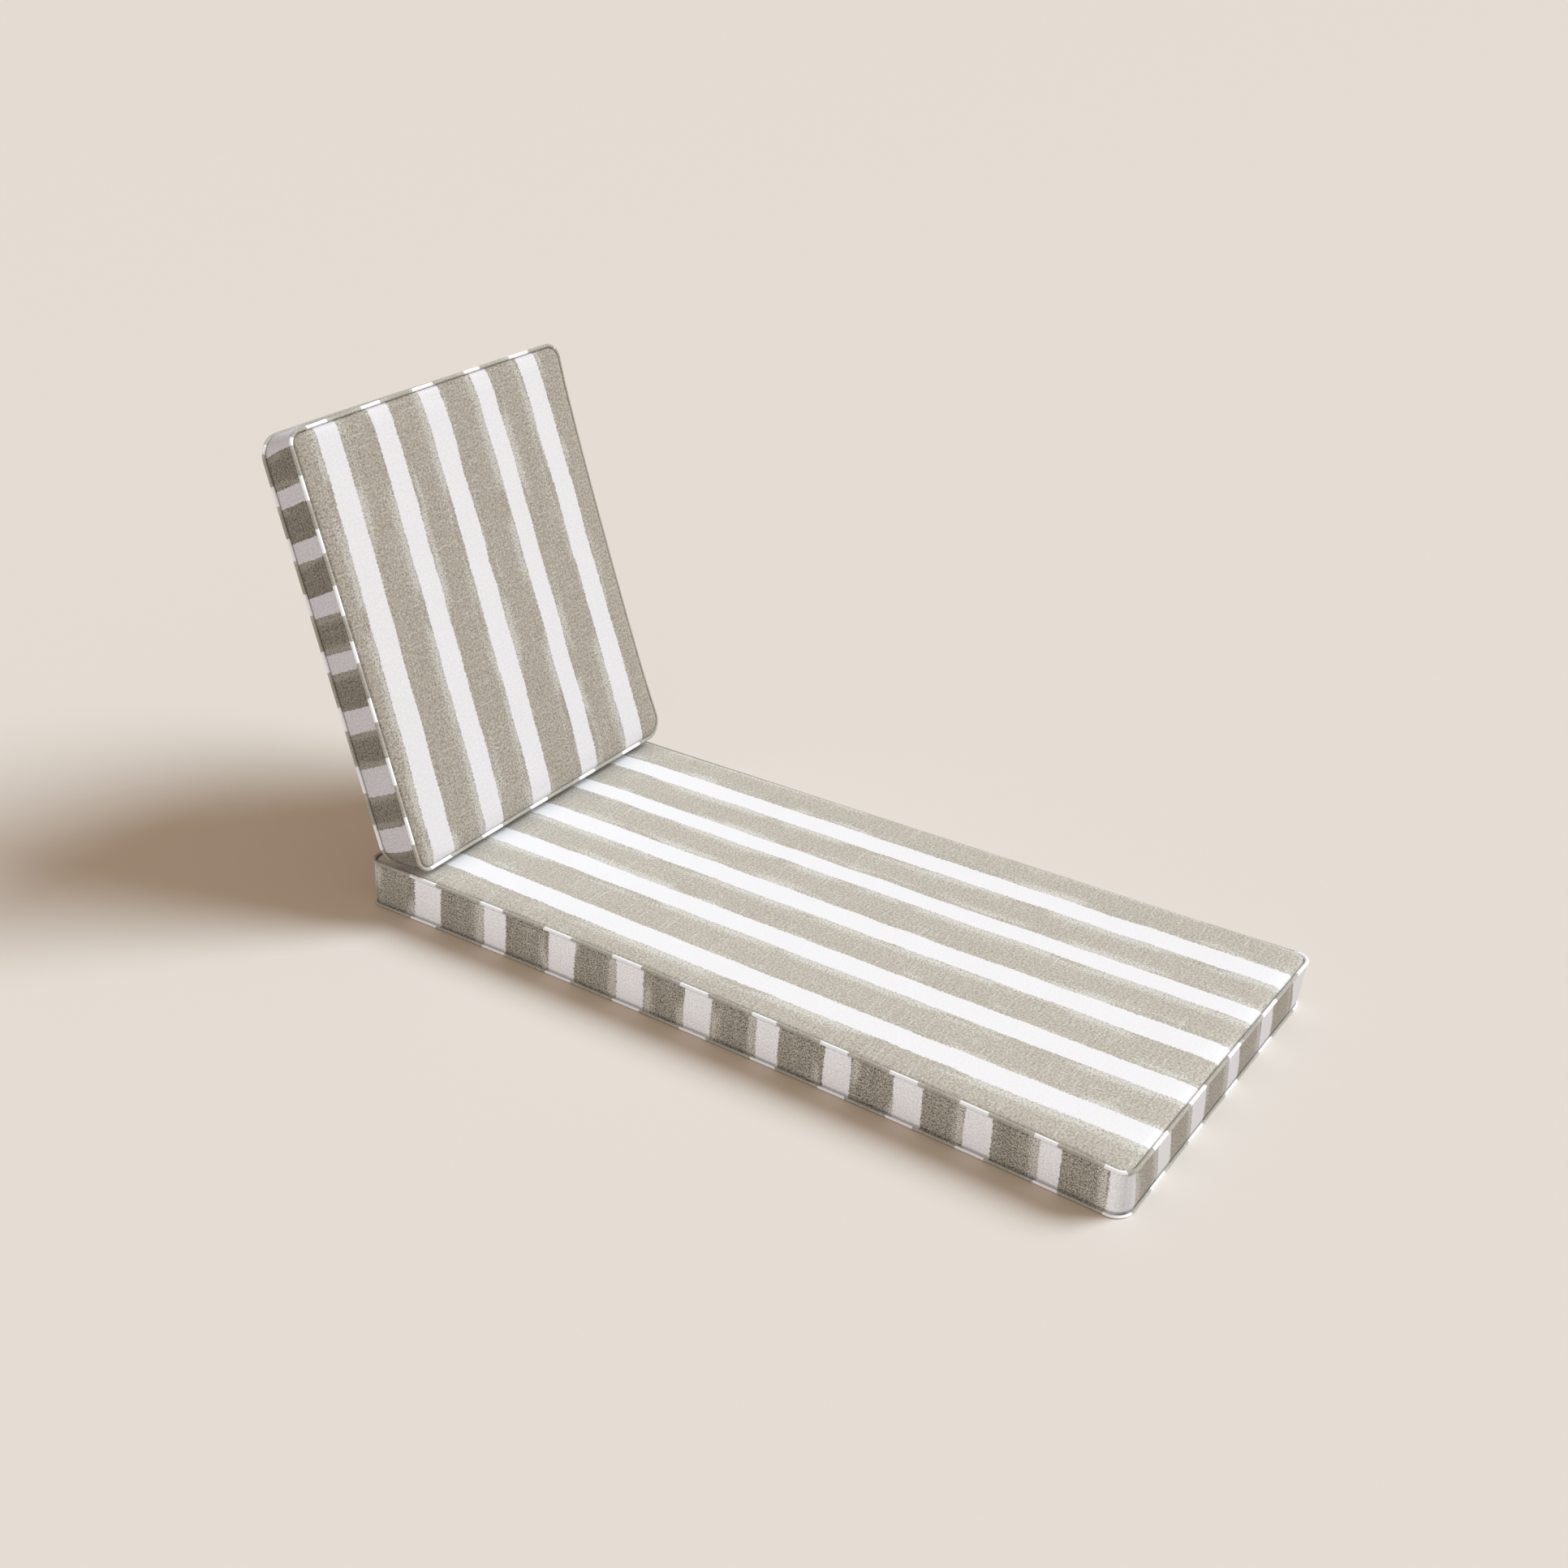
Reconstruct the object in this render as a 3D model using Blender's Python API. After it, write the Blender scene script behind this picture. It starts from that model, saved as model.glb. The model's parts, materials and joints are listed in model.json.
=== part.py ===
# A two-part sun lounger cushion: a long seat cushion lying flat, and a back cushion that
# stands on its head end and leans back. Each is one filled box cushion with a crowned face,
# drawn-in sides and rounded corners, and has a cloth-covered piping cord round both faces.
# Metres, +Z up, +X towards the foot end. The origin is under the middle, on the floor.
import math

import bmesh
import bpy
from mathutils import Vector

# Seat cushion, measured from piping centre to piping centre
SEAT_LENGTH = 1.321
SEAT_HEAD_WIDTH = 0.580
SEAT_FOOT_WIDTH = 0.600
SEAT_DEPTH = 0.0705

# Back cushion, measured in the same way: its length runs up the back
BACK_LENGTH = 0.688
BACK_BOTTOM_WIDTH = 0.599
BACK_TOP_WIDTH = 0.586
BACK_BOTTOM_DEPTH = 0.077
BACK_TOP_DEPTH = 0.068

# How the back stands on the seat
BACK_LEAN = math.radians(15.4)
BACK_STAND = 0.0490          # from the seat's head piping to the back's lower rear piping
BACK_OFF_CENTRE = 0.0040
REST_LEVEL = 0.0757          # height of the seat where the back presses it level
REST_HALF_WIDTH = 0.010
REST_SPREAD = 0.034

PIPING_RADIUS = 0.0035
PIPING_SIDES_LEVEL = 2       # a bevel resolution of 2 gives 8 sides
CLEARANCE = 0.0003
SEAM_SLACK = 0.0005
SEAM_RADIUS = PIPING_RADIUS + CLEARANCE + SEAM_SLACK
FLOOR_CLEARANCE = 0.0004     # between the lower piping and the floor

# Where an outline has its points: steps round a corner and along a short side, and shares of a
# long side, which lie closer together at the start, where the back stands on the seat
CORNER_STEPS = 5
SHORT_SHARES = tuple(step / 7 for step in range(1, 7))
LONG_SHARES = (0.008, 0.022, 0.045, 0.09, 0.17, 0.28, 0.40, 0.52, 0.64, 0.76, 0.87, 0.95)

# Rise of a face inwards from its seam: a quick rise at the seam and a slow crown behind it
SEAM_RISE = 0.0042
SEAM_RISE_REACH = 0.005
CROWN_REACH = 0.075

# Insets of the rings that shape a crowned face, from its seam inwards
FACE_INSETS = (0.0062, 0.0100, 0.0160, 0.0260, 0.0380, 0.0570, 0.0850, 0.1200, 0.1650, 0.2200)
# The same for a face that lies flat, with how far each row stands off the floor
FLAT_ROWS = ((0.0062, 0.0009), (0.0120, 0.0))
# Where the rows of the notch round the piping lie, as angles at the piping's centre
NOTCH_ANGLES = (215.0, 170.0, 125.0)

# The boxing strip, by shares of the depth: how far it bulges, and how far it is tucked in
BOXING_SHARES = (0.14, 0.32, 0.50, 0.68, 0.86)
BOXING_BULGE = 0.0022
BOXING_TUCK = 0.0008
BOW_POWER = 2.5
END_BOW_POWER = 8            # keeps an end edge's bow to that end
# A ring further in than its outline's corner radius has this corner, and more the further in
INNER_CORNER = 0.006
INNER_CORNER_GROWTH = 0.25
SMOOTH_ANGLE = math.radians(50)

# Cushions: sizes as above, corner radii of the lower and upper outline, how far each side is
# drawn in halfway along, how far the lower outline's end edge is tucked under, the two crowns,
# and how much one upper edge stands up at the start.
# Minus and plus are the sides of a cushion's own Y axis.
SEAT = {
    "name": "seat", "length": SEAT_LENGTH,
    "start_width": SEAT_HEAD_WIDTH, "end_width": SEAT_FOOT_WIDTH,
    "start_depth": SEAT_DEPTH, "end_depth": SEAT_DEPTH,
    "lower_corner": 0.032, "upper_corner": 0.022,
    "draw_minus": 0.0122, "draw_plus": 0.0030, "draw_start": 0.003, "draw_end": 0.001, "lower_tuck": 0.003,
    "lower_crown": 0.0, "upper_crown": 0.0055, "edge_lift": 0.0060,
    "lies_flat": True, "pressed": True,
}
BACK = {
    "name": "back", "length": BACK_LENGTH,
    "start_width": BACK_BOTTOM_WIDTH, "end_width": BACK_TOP_WIDTH,
    "start_depth": BACK_BOTTOM_DEPTH, "end_depth": BACK_TOP_DEPTH,
    "lower_corner": 0.034, "upper_corner": 0.022,
    "draw_minus": 0.0070, "draw_plus": 0.0010, "draw_start": 0.001, "draw_end": 0.000, "lower_tuck": 0.003,
    "lower_crown": 0.0040, "upper_crown": 0.0050, "edge_lift": 0.0,
    "lies_flat": False, "pressed": False,
}


def clear_scene():
    for obj in list(bpy.data.objects):
        bpy.data.objects.remove(obj, do_unlink=True)


def cloth(name, colour):
    material = bpy.data.materials.new(name)
    material.use_nodes = True
    shader = material.node_tree.nodes["Principled BSDF"]
    shader.inputs["Base Color"].default_value = (*colour, 1.0)
    shader.inputs["Roughness"].default_value = 0.9
    shader.inputs["Metallic"].default_value = 0.0
    material.diffuse_color = (*colour, 1.0)
    return material


def mean_width(cushion):
    return (cushion["start_width"] + cushion["end_width"]) / 2


def depth_at(cushion, along):
    share = along / cushion["length"]
    return cushion["start_depth"] + (cushion["end_depth"] - cushion["start_depth"]) * share


def bow(share):
    """0 at the two ends of a side and 1 along its middle."""
    return 1.0 - abs(2.0 * share - 1.0) ** BOW_POWER


def corner_radius(cushion, inset, level):
    """Corner radius of a ring: parallel to the outline near the seam, and rounder further in."""
    outline = cushion["lower_corner"] + (cushion["upper_corner"] - cushion["lower_corner"]) * level
    return max(outline - inset, INNER_CORNER + INNER_CORNER_GROWTH * inset)


def ring_plan(cushion, inset, level):
    """Points of a rounded rectangle, going round from the end edge's minus corner."""
    length, half = cushion["length"], mean_width(cushion) / 2
    radius = corner_radius(cushion, inset, level)
    reach = inset + radius
    backwards = tuple(1.0 - share for share in reversed(LONG_SHARES))
    # each corner's centre and first angle, and the points of the side that follows it
    corners = (
        (length - reach, -half + reach, -90.0, SHORT_SHARES),
        (length - reach, half - reach, 0.0, backwards),
        (reach, half - reach, 90.0, SHORT_SHARES),
        (reach, -half + reach, 180.0, LONG_SHARES),
    )
    points = []
    for index, (centre_x, centre_y, first_angle, shares) in enumerate(corners):
        for step in range(CORNER_STEPS + 1):
            angle = math.radians(first_angle + 90.0 * step / CORNER_STEPS)
            points.append((centre_x + radius * math.cos(angle), centre_y + radius * math.sin(angle)))
        start_x, start_y = points[-1]
        next_x, next_y, next_angle, _ = corners[(index + 1) % 4]
        end_x = next_x + radius * math.cos(math.radians(next_angle))
        end_y = next_y + radius * math.sin(math.radians(next_angle))
        for share in shares:
            points.append((start_x + (end_x - start_x) * share, start_y + (end_y - start_y) * share))
    return points


def draw_in(cushion, level, x, y):
    """Tapers the plan to its two widths and draws its sides in between the corners."""
    along = x / cushion["length"]
    across = 2.0 * y / mean_width(cushion)
    half = (cushion["start_width"] + (cushion["end_width"] - cushion["start_width"]) * along) / 2
    side = cushion["draw_plus"] if across > 0 else cushion["draw_minus"]
    new_y = across * half - math.copysign(side * bow(along) * across * across, across)
    ends = bow((across + 1.0) / 2.0)
    new_x = x + cushion["draw_start"] * ends * abs(1.0 - along) ** END_BOW_POWER
    new_x -= cushion["draw_end"] * ends * abs(along) ** END_BOW_POWER
    new_x -= cushion["lower_tuck"] * (1.0 - level) * along * along
    return new_x, new_y


def upper_seam(cushion, x, y):
    """Height of the upper piping's centre over the lower one's."""
    away = max(0.0, 1.0 - x / cushion["length"])
    lifted = 0.5 - y / mean_width(cushion)
    return depth_at(cushion, x) + cushion["edge_lift"] * away * lifted


def rise(inset, crown):
    at_seam = SEAM_RISE * (1.0 - math.exp(-inset / SEAM_RISE_REACH))
    return at_seam + crown * (1.0 - math.exp(-inset / CROWN_REACH))


def seat_press(x, height):
    """The back cushion presses the seat level along the line that it stands on."""
    level = REST_LEVEL - PIPING_RADIUS - FLOOR_CLEARANCE
    away = max(0.0, abs(x - BACK_STAND) - REST_HALF_WIDTH)
    share = math.exp(-(away / REST_SPREAD) ** 2)
    return height - share * max(0.0, height - level)


def ring(cushion, inset, level, height):
    """A closed row of points. height works out a point's height from its place."""
    points = []
    for x, y in ring_plan(cushion, inset, level):
        drawn_x, drawn_y = draw_in(cushion, level, x, y)
        points.append(Vector((drawn_x, drawn_y, height(x, y))))
    return points


def seam_rings(cushion, upper):
    """Three rows that leave a rounded notch for the piping, from the face to the boxing or back."""
    rows = []
    for angle in NOTCH_ANGLES:
        turned = math.radians(angle)
        inset = -SEAM_RADIUS * math.cos(turned)
        drop = SEAM_RADIUS * math.sin(turned)
        if upper:
            rows.append(ring(cushion, inset, 1.0, lambda x, y, d=drop: upper_seam(cushion, x, y) - d))
        else:
            rows.append(ring(cushion, inset, 0.0, lambda x, y, d=drop: d))
    return rows[::-1] if upper else rows


def flat_rings(cushion):
    """Rows of a face that lies flat on the floor, with its edge turned up to the seam."""
    rows = []
    for inset, lift in FLAT_ROWS:
        level = lift - PIPING_RADIUS - FLOOR_CLEARANCE
        rows.append(ring(cushion, inset, 0.0, lambda x, y, h=level: h))
    return rows


def crowned_rings(cushion, upper):
    """Rows of a crowned face, from its seam inwards."""
    crown = cushion["upper_crown"] if upper else cushion["lower_crown"]
    rows = []
    for inset in FACE_INSETS:
        raised = rise(inset, crown)
        if not upper:
            rows.append(ring(cushion, inset, 0.0, lambda x, y, h=raised: -h))
        elif cushion["pressed"]:
            height = lambda x, y, h=raised: seat_press(x, upper_seam(cushion, x, y) + h)
            rows.append(ring(cushion, inset, 1.0, height))
        else:
            rows.append(ring(cushion, inset, 1.0, lambda x, y, h=raised: upper_seam(cushion, x, y) + h))
    return rows


def boxing_rings(cushion):
    rows = []
    for share in BOXING_SHARES:
        bulge = BOXING_BULGE * math.sin(math.pi * share) - BOXING_TUCK
        rows.append(ring(cushion, -bulge, share, lambda x, y, s=share: s * upper_seam(cushion, x, y)))
    return rows


def build_cushion(cushion, material):
    """One closed solid: rows from the middle of the lower face round to the middle of the upper."""
    lower_face = flat_rings(cushion) if cushion["lies_flat"] else crowned_rings(cushion, upper=False)
    rows = lower_face[::-1]
    rows += seam_rings(cushion, upper=False)
    rows += boxing_rings(cushion)
    rows += seam_rings(cushion, upper=True)
    rows += crowned_rings(cushion, upper=True)
    shape = bmesh.new()
    loops = [[shape.verts.new(point) for point in row] for row in rows]
    count = len(loops[0])
    for lower, upper in zip(loops, loops[1:]):
        for i in range(count):
            j = (i + 1) % count
            shape.faces.new((lower[i], lower[j], upper[j], upper[i]))
    shape.faces.new(loops[0][::-1])
    shape.faces.new(loops[-1])
    mesh = bpy.data.meshes.new(cushion["name"] + "_cushion")
    shape.to_mesh(mesh)
    shape.free()
    mesh.shade_smooth()
    mesh.set_sharp_from_angle(angle=SMOOTH_ANGLE)
    mesh.materials.append(material)
    return add_object(mesh.name, mesh)


def build_welt(cushion, name, upper, material):
    """The piping: a round cord that follows the seam all the way round."""
    level = 1.0 if upper else 0.0
    height = (lambda x, y: upper_seam(cushion, x, y)) if upper else (lambda x, y: 0.0)
    points = ring(cushion, 0.0, level, height)
    curve = bpy.data.curves.new(name, "CURVE")
    curve.dimensions = "3D"
    curve.bevel_depth = PIPING_RADIUS
    curve.bevel_resolution = PIPING_SIDES_LEVEL
    spline = curve.splines.new("POLY")
    spline.points.add(len(points) - 1)
    for slot, point in zip(spline.points, points):
        slot.co = (*point, 1.0)
    spline.use_cyclic_u = True
    curve.materials.append(material)
    return add_object(name, curve)


def add_object(name, data):
    obj = bpy.data.objects.new(name, data)
    bpy.context.collection.objects.link(obj)
    return obj


def add_empty(name, parent=None):
    empty = add_object(name, None)
    empty.parent = parent
    return empty


def centre_over_floor(root):
    """Moves everything so that the origin lies under the middle of the whole."""
    bpy.context.view_layer.update()
    scene_state = bpy.context.evaluated_depsgraph_get()
    points = []
    for obj in bpy.data.objects:
        if obj.type in {"MESH", "CURVE"}:
            shaped = obj.evaluated_get(scene_state)
            points += [shaped.matrix_world @ vertex.co for vertex in shaped.to_mesh().vertices]
            shaped.to_mesh_clear()
    root.location.x -= (min(p.x for p in points) + max(p.x for p in points)) / 2
    root.location.y -= (min(p.y for p in points) + max(p.y for p in points)) / 2


def main():
    clear_scene()
    panel_cloth = cloth("striped_cloth", (0.62, 0.59, 0.52))
    piping_cloth = cloth("piping_cloth", (0.80, 0.78, 0.74))
    root = add_empty("cushion_set")

    seat_place = add_empty("seat_place", root)
    seat_place.location = (0.0, 0.0, PIPING_RADIUS + FLOOR_CLEARANCE)

    back_place = add_empty("back_place", root)
    back_place.location = (BACK_STAND, BACK_OFF_CENTRE, REST_LEVEL + PIPING_RADIUS + CLEARANCE)
    back_place.rotation_euler = (0.0, BACK_LEAN - math.radians(90.0), math.radians(180.0))

    for cushion, place, names in (
        (SEAT, seat_place, ("seat_welt_bottom", "seat_welt_top")),
        (BACK, back_place, ("back_welt_rear", "back_welt_front")),
    ):
        build_cushion(cushion, panel_cloth).parent = place
        for name, upper in zip(names, (False, True)):
            build_welt(cushion, name, upper, piping_cloth).parent = place
    centre_over_floor(root)


main()
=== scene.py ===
import json
import math

import bmesh
import bpy
from mathutils import Matrix, Vector, noise

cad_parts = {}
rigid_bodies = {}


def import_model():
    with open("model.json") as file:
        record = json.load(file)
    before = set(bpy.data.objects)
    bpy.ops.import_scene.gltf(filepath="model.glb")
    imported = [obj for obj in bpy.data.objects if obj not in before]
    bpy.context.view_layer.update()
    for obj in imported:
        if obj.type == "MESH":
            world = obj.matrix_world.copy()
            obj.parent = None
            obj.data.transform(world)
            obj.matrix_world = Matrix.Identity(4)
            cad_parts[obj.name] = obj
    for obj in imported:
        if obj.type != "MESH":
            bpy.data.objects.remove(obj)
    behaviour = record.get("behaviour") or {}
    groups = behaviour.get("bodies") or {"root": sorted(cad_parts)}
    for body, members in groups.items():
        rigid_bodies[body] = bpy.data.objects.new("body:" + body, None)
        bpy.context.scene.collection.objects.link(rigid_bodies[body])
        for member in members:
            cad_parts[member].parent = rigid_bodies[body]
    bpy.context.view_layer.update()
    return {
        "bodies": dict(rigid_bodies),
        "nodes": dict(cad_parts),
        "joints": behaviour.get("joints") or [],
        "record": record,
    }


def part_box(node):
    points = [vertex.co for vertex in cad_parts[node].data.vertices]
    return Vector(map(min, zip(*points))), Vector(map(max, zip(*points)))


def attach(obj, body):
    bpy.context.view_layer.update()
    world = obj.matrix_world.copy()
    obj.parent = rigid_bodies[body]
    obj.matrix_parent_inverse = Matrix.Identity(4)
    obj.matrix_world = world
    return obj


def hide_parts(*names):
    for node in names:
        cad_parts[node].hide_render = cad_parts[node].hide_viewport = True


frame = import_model()


# camera and studio

lens = 44.702                 # mm, on a 36 mm sensor
cameraTurn = 34.570           # degrees round from looking along +Y
cameraPitch = 28.219          # degrees down
cameraRoll = 0.133            # degrees
seatLength = 1.321            # metres, between the pipings of its ends
seatHeadX = (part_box("seat_welt_top")[0].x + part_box("seat_welt_top")[1].x) / 2 - seatLength / 2
cameraPlace = (seatHeadX + 2.0383, -2.0967, 1.6359)

studio = {
    "floorSize": 60.0, "floorLevel": -0.0002,
    "floorColour": (0.80, 0.73, 0.66), "floorRoughness": 0.95, "floorGloss": 0.1,
    "airColour": (1.0, 0.80, 0.62), "airStrength": 0.42,
    "keyFrom": (0.80, 0.68, 0.92), "keyColour": (0.764, 0.889, 1.0), "keyStrength": 3.50,
    "fillFrom": (0.12, -0.86, 0.50), "fillColour": (0.75, 0.87, 1.0), "fillStrength": 1.04,
    "softness": 30.0,         # degrees
}


def addCamera():
    data = bpy.data.cameras.new("camera")
    data.sensor_width = 36.0
    data.lens = lens
    camera = bpy.data.objects.new("camera", data)
    bpy.context.collection.objects.link(camera)
    turn = Matrix.Rotation(math.radians(cameraTurn), 4, "Z")
    tip = Matrix.Rotation(math.radians(90 - cameraPitch), 4, "X")
    roll = Matrix.Rotation(math.radians(cameraRoll), 4, "Z")
    camera.matrix_world = Matrix.Translation(cameraPlace) @ turn @ tip @ roll
    bpy.context.scene.camera = camera


def addLight(name, direction, colour, strength):
    # a soft far light that shines from a direction
    light = bpy.data.lights.new(name, "SUN")
    light.energy = strength
    light.color = colour
    light.angle = math.radians(studio["softness"])
    holder = bpy.data.objects.new(name, light)
    holder.rotation_mode = "QUATERNION"
    holder.rotation_quaternion = Vector(direction).to_track_quat("Z", "Y")
    bpy.context.collection.objects.link(holder)
    return holder


def addStudio():
    world = bpy.data.worlds.new("studio air")
    world.use_nodes = True
    background = world.node_tree.nodes["Background"]
    background.inputs["Color"].default_value = (*studio["airColour"], 1.0)
    background.inputs["Strength"].default_value = studio["airStrength"]
    bpy.context.scene.world = world
    bpy.context.scene.view_settings.view_transform = "Standard"
    bpy.ops.mesh.primitive_plane_add(size=studio["floorSize"], location=(0, 0, studio["floorLevel"]))
    floor = bpy.context.object
    floor.name = "studio_floor"
    paper = bpy.data.materials.new("studio paper")
    paper.use_nodes = True
    shader = paper.node_tree.nodes["Principled BSDF"]
    shader.inputs["Base Color"].default_value = (*studio["floorColour"], 1.0)
    shader.inputs["Roughness"].default_value = studio["floorRoughness"]
    shader.inputs["Specular IOR Level"].default_value = studio["floorGloss"]
    floor.data.materials.append(paper)
    addLight("key", studio["keyFrom"], studio["keyColour"], studio["keyStrength"])
    fill = addLight("fill", studio["fillFrom"], studio["fillColour"], studio["fillStrength"])
    # the fill leaves the floor's shadows as they are
    unlit = bpy.data.collections.new("not filled")
    unlit.objects.link(floor)
    unlit.collection_objects[0].light_linking.link_state = "EXCLUDE"
    fill.light_linking.receiver_collection = unlit


# shader maths

class Wire:
    # a socket that can be added to, multiplied and so on, each time with one Math node
    def __init__(self, dye, socket):
        self.dye, self.socket = dye, socket

    def __add__(self, other):
        return self.dye.maths("ADD", self, other)

    def __radd__(self, other):
        return self.dye.maths("ADD", other, self)

    def __sub__(self, other):
        return self.dye.maths("SUBTRACT", self, other)

    def __rsub__(self, other):
        return self.dye.maths("SUBTRACT", other, self)

    def __mul__(self, other):
        return self.dye.maths("MULTIPLY", self, other)

    def __rmul__(self, other):
        return self.dye.maths("MULTIPLY", other, self)


class Dye:
    # one material's node tree
    def __init__(self, name):
        self.material = bpy.data.materials.new(name)
        self.material.use_nodes = True
        self.tree = self.material.node_tree
        self.shader = self.tree.nodes["Principled BSDF"]

    def node(self, kind, settings, inputs, output=0):
        new = self.tree.nodes.new(kind)
        for name, value in settings.items():
            setattr(new, name, value)
        for name, value in inputs.items():
            if isinstance(value, Wire):
                self.tree.links.new(value.socket, new.inputs[name])
            else:
                new.inputs[name].default_value = value
        return Wire(self, new.outputs[output])

    def maths(self, operation, *values):
        return self.node("ShaderNodeMath", {"operation": operation}, dict(enumerate(values)))

    def feed(self, socket, wire):
        self.tree.links.new(wire.socket, self.shader.inputs[socket])

    def map(self, name):
        return self.node("ShaderNodeUVMap", {"uv_map": name}, {})

    def parts(self, vector):
        return [self.node("ShaderNodeSeparateXYZ", {}, {"Vector": vector}, i) for i in range(2)]

    def noise(self, across, along, acrossScale, alongScale, detail=1.0, shift=0.0):
        place = self.node("ShaderNodeCombineXYZ", {}, {
            "X": across * acrossScale, "Y": along * alongScale, "Z": shift})
        return self.node("ShaderNodeTexNoise", {"noise_dimensions": "3D"}, {
            "Vector": place, "Scale": 1.0, "Detail": detail, "Roughness": 0.6})

    def soft(self, value, start, end):
        # 0 up to start, 1 from end on, and smooth between
        return self.node("ShaderNodeMapRange", {"interpolation_type": "SMOOTHSTEP"}, {
            "Value": value, "From Min": start, "From Max": end})

    def blend(self, share, first, second):
        colours = {6: first, 7: second}
        inputs = {0: share}
        for slot, colour in colours.items():
            inputs[slot] = colour if isinstance(colour, Wire) else (*colour, 1.0)
        return self.node("ShaderNodeMix", {"data_type": "RGBA"}, inputs, 2)

    def tint(self, colour, share):
        # colour times a grey value
        colour = colour if isinstance(colour, Wire) else (*colour, 1.0)
        grey = self.node("ShaderNodeCombineColor", {}, {"Red": share, "Green": share, "Blue": share})
        return self.node("ShaderNodeMix", {"data_type": "RGBA", "blend_type": "MULTIPLY"},
                         {0: 1.0, 6: colour, 7: grey}, 2)


# the cloth: a slubbed weave painted with bands, ragged and dry-brushed at their edges

cloth = {
    "whiteShare": 0.38,         # of one repeat, as the stripe map has it
    "edgeSoftness": 0.005,
    "slowWave": 0.060, "fastWave": 0.070,       # of the bands' edges, in repeats
    "seamShade": 0.55,          # painted shade: how much the colour darkens in the crease beside a cord
    "turnShade": 0.30,          # painted shade that darkens the side's colour where its cloth ends round a corner, to meet the end's darker colour
    "brushStart": 0.06, "brushReach": 0.20,     # where dry brushing thins out in a band, in repeats
    "patch": (0.45, 0.60), "patchSide": 0.07,   # its long patches, and how they keep to one edge
    "fleck": (0.60, 0.66), "patchFlecks": 0.15, "strayFlecks": 0.02,
    "weftSlub": (0.60, 0.70), "warpSlub": (0.66, 0.76), "slubs": (0.7, 0.4),
    "threads": (0.5, 0.4, 2.2),                 # light and dark of weft, warp and heather
    "heights": (0.35, 0.35, 0.5, 0.12),         # of the same and of the paint, in the bump
    "bumpStrength": 0.25, "bumpHeight": 0.0006,
    "roughness": 0.92, "gloss": 0.25,
    "sheen": 0.10, "sheenRoughness": 0.6,
}


# one recipe for each panel of the same cloth, whose colours are painted light and shade: lighter or darker for how
# the light falls on that panel. Scale is the grain's, in threads a metre, and shift keeps the cloths' noises apart
clothRecipesWithPaintedShade = {
    "panel": {
        "name": "panel cloth", "shift": 0.0, "scale": 320,
        "taupe": (0.470, 0.418, 0.347), "white": (0.835, 0.80, 0.79), "bare": (0.70, 0.67, 0.61),
        "fleck": 0.85, "slub": 0.75, "grain": 0.58, "streak": 0.10, "whiteGrain": 0.06},
    # painted shade: darker than the seat's top, for the light that falls on the back's face
    "backPanel": {
        "name": "back panel cloth", "shift": 5.0, "scale": 320,
        "taupe": (0.321, 0.277, 0.219), "white": (0.676, 0.633, 0.621), "bare": (0.53, 0.49, 0.44),
        "fleck": 0.85, "slub": 0.55, "grain": 0.80, "streak": 0.14, "whiteGrain": 0.12},
    # painted light and shade: whites lighter and taupe darker than the top's, for the shaded near side
    "side": {
        "name": "boxing cloth", "shift": 10.0, "scale": 430,
        "taupe": (0.300, 0.272, 0.222), "white": (0.88, 0.865, 0.88), "bare": (0.66, 0.63, 0.57),
        "fleck": 1.0, "slub": 0.45, "grain": 1.75, "streak": 0.40, "whiteGrain": 0.34},
    # painted shade: darker than the side's, so that the foot end looks shaded under the key light
    "end": {
        "name": "end boxing cloth", "shift": 20.0, "scale": 360,
        "taupe": (0.250, 0.209, 0.158), "white": (0.585, 0.543, 0.53), "bare": (0.47, 0.43, 0.375),
        "fleck": 0.8, "slub": 0.30, "grain": 0.90, "streak": 0.22, "whiteGrain": 0.14},
    # painted shade: darkest of all, for the back's shaded sides
    "backSide": {
        "name": "back boxing cloth", "shift": 30.0, "scale": 340,
        "taupe": (0.190, 0.167, 0.136), "white": (0.59, 0.565, 0.58), "bare": (0.40, 0.37, 0.32),
        "fleck": 0.7, "slub": 0.30, "grain": 1.15, "streak": 0.35, "whiteGrain": 0.30},
    # painted shade: taupe darker than the top's, for the shaded near side
    "piping": {
        "name": "piping cloth", "shift": 40.0, "scale": 400,
        "taupe": (0.375, 0.342, 0.283), "white": (0.88, 0.865, 0.865), "bare": (0.60, 0.56, 0.50),
        "fleck": 0.5, "slub": 0.2, "grain": 0.50, "streak": 0.0, "whiteGrain": 0.06},
}


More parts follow.
